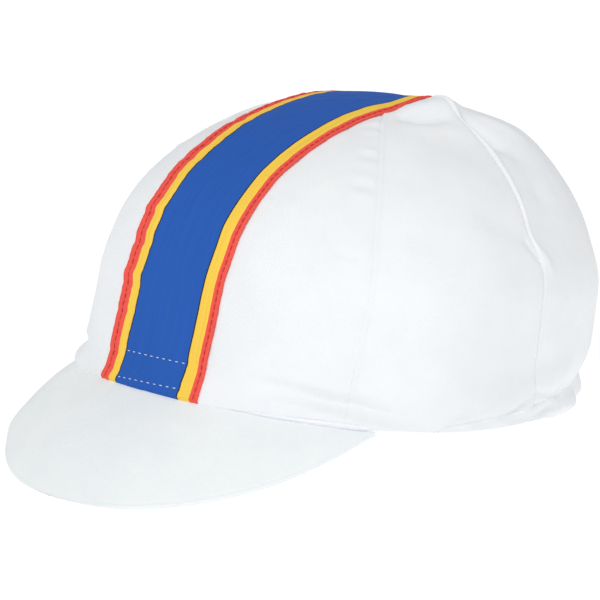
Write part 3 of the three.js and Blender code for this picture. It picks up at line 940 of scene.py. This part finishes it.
casing = lay_cloth("elastic_casing", casing_grid, casing_uv, crown_cotton)
full_wall = casing.vertex_groups.new(name="full_wall")
wall_weights = smoothstep(casing_turn, casing_start, casing_start + casing_thinning)
for place, weight in enumerate(np.broadcast_to(wall_weights, casing_climb.shape).ravel()):
    full_wall.add([place], float(weight), "REPLACE")
thicken(casing, casing_thickness, vertex_group="full_wall", thickness_vertex_group=casing_thin_share)
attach(casing, "root")
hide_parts("rear_casing")


# Sweatband and its rolled lower edge
band_end = casing_start - band_end_angle
band_angles = rim_angles(-band_end, band_end, 1.0)
band_climb = np.linspace(band_foot, band_height, 22)[:, None]
band_levels = level_at_height(band_climb)
band_lift = -wall_gauge - piece_gap - rolled(band_climb - band_foot, 0.8) * 0.6
band_grid = crown(band_angles, band_levels, band_lift, fine=False)
band_uv = np.stack(np.broadcast_arrays(band_angles * band_radius, band_climb), -1)
band = lay_cloth("sweatband_tape", band_grid, band_uv, band_tape)
thicken(band, band_thickness)
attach(band, "root")
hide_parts("sweatband")


# Peak
def inner_rim(angle):
    """Points on the inner face of the cloth at the rim, where the peak is sewn on."""
    across = crown(angle + 0.01, 0.0, fine=False) - crown(angle - 0.01, 0.0, fine=False)
    up = crown(angle, 0.019, fine=False) - crown(angle, 0.0, fine=False)
    return crown(angle, 0.0, fine=False) - unit(np.cross(across, up)) * wall_gauge


def peak_surface(share, out):
    """Points of the peak's upper face: share runs from -1 to 1 between its ends, out from root to edge."""
    angle = np.radians(share * peak_half_angle)
    root = inner_rim(angle)
    root[..., 2] -= piece_gap
    fullness = np.maximum(1 - np.abs(share) ** peak_roundness, 0) ** peak_fullness
    reach = peak_tip_reach + (peak_reach - peak_tip_reach) * fullness
    fan = peak_fan * angle
    drop = np.radians(peak_drop_middle + (peak_drop_end - peak_drop_middle) * share * share)
    run = np.stack([np.sin(fan) * np.cos(drop), -np.cos(fan) * np.cos(drop), -np.sin(drop)], -1)
    rise = np.stack([np.sin(fan) * np.sin(drop), -np.cos(fan) * np.sin(drop), np.cos(drop)], -1)
    bow = peak_bow * fullness * np.sin(np.pi * out)
    return root + run * (reach * out)[..., None] + rise * bow[..., None], reach * out


peak_shares = np.sin(np.linspace(-np.pi / 2, np.pi / 2, 131))[None, :]
peak_outs = (1 - np.linspace(0, 1, 46) ** 1.25)[:, None]
peak_shares, peak_outs = np.broadcast_arrays(peak_shares, peak_outs)
peak_top, peak_reached = peak_surface(peak_shares, peak_outs)
peak_up = grid_normals(peak_top)
peak_run = unit(peak_top[0] - peak_top[1])
edge_angles = np.linspace(0, np.pi, 9)[1:-1]
half = peak_thickness / 2
edge_rows = []
for turn in edge_angles:
    down = peak_up[0] * (half * (math.cos(turn) - 1))
    edge_rows.append(peak_top[0] + down + peak_run * (half * 0.8 * math.sin(turn)))
groove = peak_groove * hill(peak_reached[0] - peak_reached - peak_groove_inset, peak_groove_width)
peak_face = peak_top - peak_up * groove[..., None]
peak_bottom = peak_top - peak_up * peak_thickness
peak_loop = np.concatenate([peak_bottom[::-1], np.stack(edge_rows[::-1]), peak_face])
edge_reached = np.repeat(peak_reached[:1], len(edge_rows), 0)
loop_reached = np.concatenate([peak_reached[::-1], edge_reached, peak_reached])
peak_uv = np.stack([np.broadcast_to(peak_shares[:1] * peak_half_arc, loop_reached.shape), loop_reached], -1)
peak = lay_cloth("peak_cloth", peak_loop, peak_uv, peak_cotton)


def close_edges(piece):
    """Fills the open ends of a folded cloth with quads and turns its faces outwards."""
    bpy.context.view_layer.objects.active = piece
    bpy.ops.object.mode_set(mode="EDIT")
    bpy.ops.mesh.select_all(action="SELECT")
    bpy.ops.mesh.remove_doubles(threshold=0.00001)
    bpy.ops.mesh.select_all(action="DESELECT")
    bpy.ops.mesh.select_non_manifold()
    bpy.ops.mesh.fill()
    bpy.ops.mesh.select_all(action="SELECT")
    bpy.ops.mesh.normals_make_consistent(inside=False)
    bpy.ops.mesh.select_all(action="DESELECT")
    bpy.ops.object.mode_set(mode="OBJECT")


close_edges(peak)
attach(peak, "root")
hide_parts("peak")

# Rolled lower edge of the sweatband, seen as a thin lip between crown and peak
lip_angles = np.radians(np.linspace(-peak_half_angle + 0.3, peak_half_angle - 0.3, 150))
lip_ring = np.linspace(0, 2 * np.pi, 11)[:-1]
lip_hidden = hem_sagged(np.degrees(lip_angles), 0.0) / hem_sag
lip_middle = crown(lip_angles, 0.0, -lip_setback - lip_hiding * lip_hidden, fine=False)
lip_turns = np.abs(np.degrees(lip_angles))
lip_middle[:, 2] += lip_lift * (3 * smoothstep(lip_turns, *lip_show_turns) - 1) / 2
lip_along = unit(np.gradient(lip_middle, axis=0))
lip_side = unit(np.cross(lip_along, np.array([0.0, 0.0, 1.0])))
lip_up = np.cross(lip_side, lip_along)
lip_ends = smoothstep(lip_turns, peak_half_angle - 3.5, peak_half_angle - lip_cover_end)
lip_taper = 1 - (1 - lip_end_share) * lip_ends
lip_radius = (band_roll_radius * lip_taper * (1 + lip_wander * drift(np.degrees(lip_angles), 13, 2)))[:, None]
lip_tall = 1 + band_roll_height * smoothstep(lip_turns, *lip_show_turns)[:, None] / 2
lip_spokes = [lip_side * math.cos(turn) + lip_tall * lip_up * math.sin(turn) for turn in lip_ring]
lip_grid = np.stack([lip_middle + lip_radius * spoke for spoke in lip_spokes], 0)
lip_uv = np.stack(np.broadcast_arrays(np.degrees(lip_angles)[None, :] * 1.5, lip_ring[:, None]), -1)
lip_grid = np.concatenate([lip_grid, lip_grid[:1]])
lip_uv = np.concatenate([lip_uv, lip_uv[:1]])
lip = lay_cloth("sweatband_roll", lip_grid, lip_uv, band_tape)
close_edges(lip)
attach(lip, "root")


# Stitches: one is modelled, and copies of it are laid along each row
def model_stitch():
    bpy.ops.mesh.primitive_uv_sphere_add(segments=6, ring_count=5, radius=0.5)
    stitch = bpy.context.object
    bpy.ops.object.mode_set(mode="EDIT")
    bpy.ops.mesh.select_all(action="SELECT")
    bpy.ops.transform.rotate(value=math.pi / 2, orient_axis="Y", center_override=(0, 0, 0))
    bpy.ops.object.mode_set(mode="OBJECT")
    points = np.array([vertex.co for vertex in stitch.data.vertices])
    faces = [list(face.vertices) for face in stitch.data.polygons]
    bpy.data.objects.remove(stitch, do_unlink=True)
    return points, faces


stitch_points, stitch_faces = model_stitch()


def stitch_row(name, lines, length, pitch, radius, material, slot):
    """Stitches along lines of points and normals, joined in one mesh."""
    points, faces = [], []
    for line, normals in lines:
        travelled = travelled_along(line)
        for centre in np.arange(pitch / 2, travelled[-1], pitch):
            start = along_line(centre - length / 2, travelled, line)
            end = along_line(centre + length / 2, travelled, line)
            normal = unit(along_line(centre, travelled, normals))
            run = unit(end - start)
            side = unit(np.cross(normal, run))
            middle = (start + end) / 2 + normal * radius * stitch_seat
            bow = 1 - (2 * stitch_points[:, :1]) ** 2
            body = stitch_points * np.array([length, 2 * radius, 2 * radius])
            arched = body[:, 2:3] + radius * stitch_bow * bow
            placed = middle + body[:, :1] * run + body[:, 1:2] * side + arched * normal
            faces += [[corner + len(points) * len(stitch_points) for corner in face] for face in stitch_faces]
            points.append(placed)
    mesh = bpy.data.meshes.new(name)
    mesh.from_pydata(on_floor(np.concatenate(points)).tolist(), [], faces)
    mesh.materials.append(material)
    mesh.shade_smooth()
    row = bpy.data.objects.new(name, mesh)
    bpy.context.scene.collection.objects.link(row)
    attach(row, "root")
    return row


def ribbon_line(over_mm, start_mm, end_mm):
    """A line along the ribbon, and its normals."""
    column = over_mm / ribbon_width * (ribbon_columns - 1)
    low = int(column)
    part = column - low
    rows = (along[:, 0] >= start_mm) & (along[:, 0] <= end_mm)
    line = ribbon_grid[:, low] * (1 - part) + ribbon_grid[:, low + 1] * part
    return line[rows], ribbon_normals[rows, low]


def ribbon_cross_line(far_height, near_height):
    """A line over the blue band that climbs from one height above the rim to another."""
    columns = np.flatnonzero((over[0] >= blue_start) & (over[0] <= blue_end))
    heights = np.linspace(far_height, near_height, len(columns))
    line = []
    for height, column in zip(heights, columns):
        line.append(along_line(height, along[:, 0], ribbon_grid[:, column]))
    return np.array(line), ribbon_normals[np.searchsorted(along[:, 0], heights), columns]


# Two slanting rows of the sweatband's stitches peek through the blue.
# Each row's heights above the rim are those at its far and near end.
peek_rows = ((2.2, 3.3), (11.2, 11.8))
peek_lines = [ribbon_cross_line(far_height, near_height) for far_height, near_height in peek_rows]
stitch_row("ribbon_hem_stitches", peek_lines, *peek_stitch, white_thread, "white_cotton")
edge_rows_over = (far_red_band / 2, ribbon_width - near_red_band / 2)
edge_lines = [ribbon_line(place, 1.0, ribbon_length - 1.0) for place in edge_rows_over]
stitch_row("ribbon_edge_stitches", edge_lines, *edge_stitch, red_thread, "striped_ribbon")
casing_lines = []
for side in (1, -1):
    angles = side * np.radians(np.linspace(stitched_from, stitched_to, 240))
    levels = level_at_height(casing_top(np.abs(np.degrees(angles))) + casing_ease + casing_stitch_inset)
    casing_lines.append((crown(angles, levels), smooth_normal(angles, levels)))
stitch_row("casing_stitches", casing_lines, *casing_stitch, white_thread, "white_cotton")


# Floor, light and camera
def studio():
    floor_finish = new_material("matte_paper_floor")
    finish = {
        "Base Color": srgb("#AAAAAA"),
        "Roughness": 0.95,
        "Specular IOR Level": 0.1,
        "Emission Color": srgb("#FFFFFF"),
        "Emission Strength": floor_glow,
    }
    shader = node(floor_finish, "ShaderNodeBsdfPrincipled", finish)
    node(floor_finish, "ShaderNodeOutputMaterial", {"Surface": shader.outputs["BSDF"]})
    bpy.ops.mesh.primitive_plane_add(size=30, location=(0, 0, 0))
    floor = bpy.context.object
    floor.name = "floor"
    floor.data.materials.append(floor_finish)

    world = bpy.data.worlds.new("studio_white")
    bpy.context.scene.world = world
    world.use_nodes = True
    backdrop = world.node_tree.nodes["Background"]
    backdrop.inputs["Color"].default_value = (1.0, 1.0, 1.0, 1.0)
    backdrop.inputs["Strength"].default_value = backdrop_strength

    # Each softbox has its place and its size in metres, and its power in watts
    for name, place, size, power in (
        ("key_softbox", (0.22, -1.53, 1.84), 1.3, 24.0),
        ("fill_softbox", (2.31, 0.14, 0.62), 1.3, 11.5),
    ):
        light = bpy.data.lights.new(name, "AREA")
        light.size = size
        light.energy = power
        holder = bpy.data.objects.new(name, light)
        bpy.context.scene.collection.objects.link(holder)
        holder.location = place
        holder.rotation_euler = (Vector((0, 0, 0.05)) - Vector(place)).to_track_quat("-Z", "Y").to_euler()


def photo_camera():
    turn, dip, roll = (math.radians(value) for value in (camera_turn, camera_dip, camera_roll))
    ahead = Vector((-math.sin(turn) * math.cos(dip), math.cos(turn) * math.cos(dip), -math.sin(dip)))
    level = Vector((math.cos(turn), math.sin(turn), 0.0))
    above = level.cross(ahead)
    right = level * math.cos(roll) + above * math.sin(roll)
    up = above * math.cos(roll) - level * math.sin(roll)
    camera = bpy.data.objects.new("camera", bpy.data.cameras.new("camera"))
    camera.data.lens = camera_lens
    camera.data.sensor_width = 36.0
    camera.data.clip_start = 0.05
    bpy.context.scene.collection.objects.link(camera)
    camera.matrix_world = Matrix.Translation(camera_at) @ Matrix((right, up, -ahead)).transposed().to_4x4()
    bpy.context.scene.camera = camera


studio()
photo_camera()
bpy.context.scene.view_settings.view_transform = "Standard"
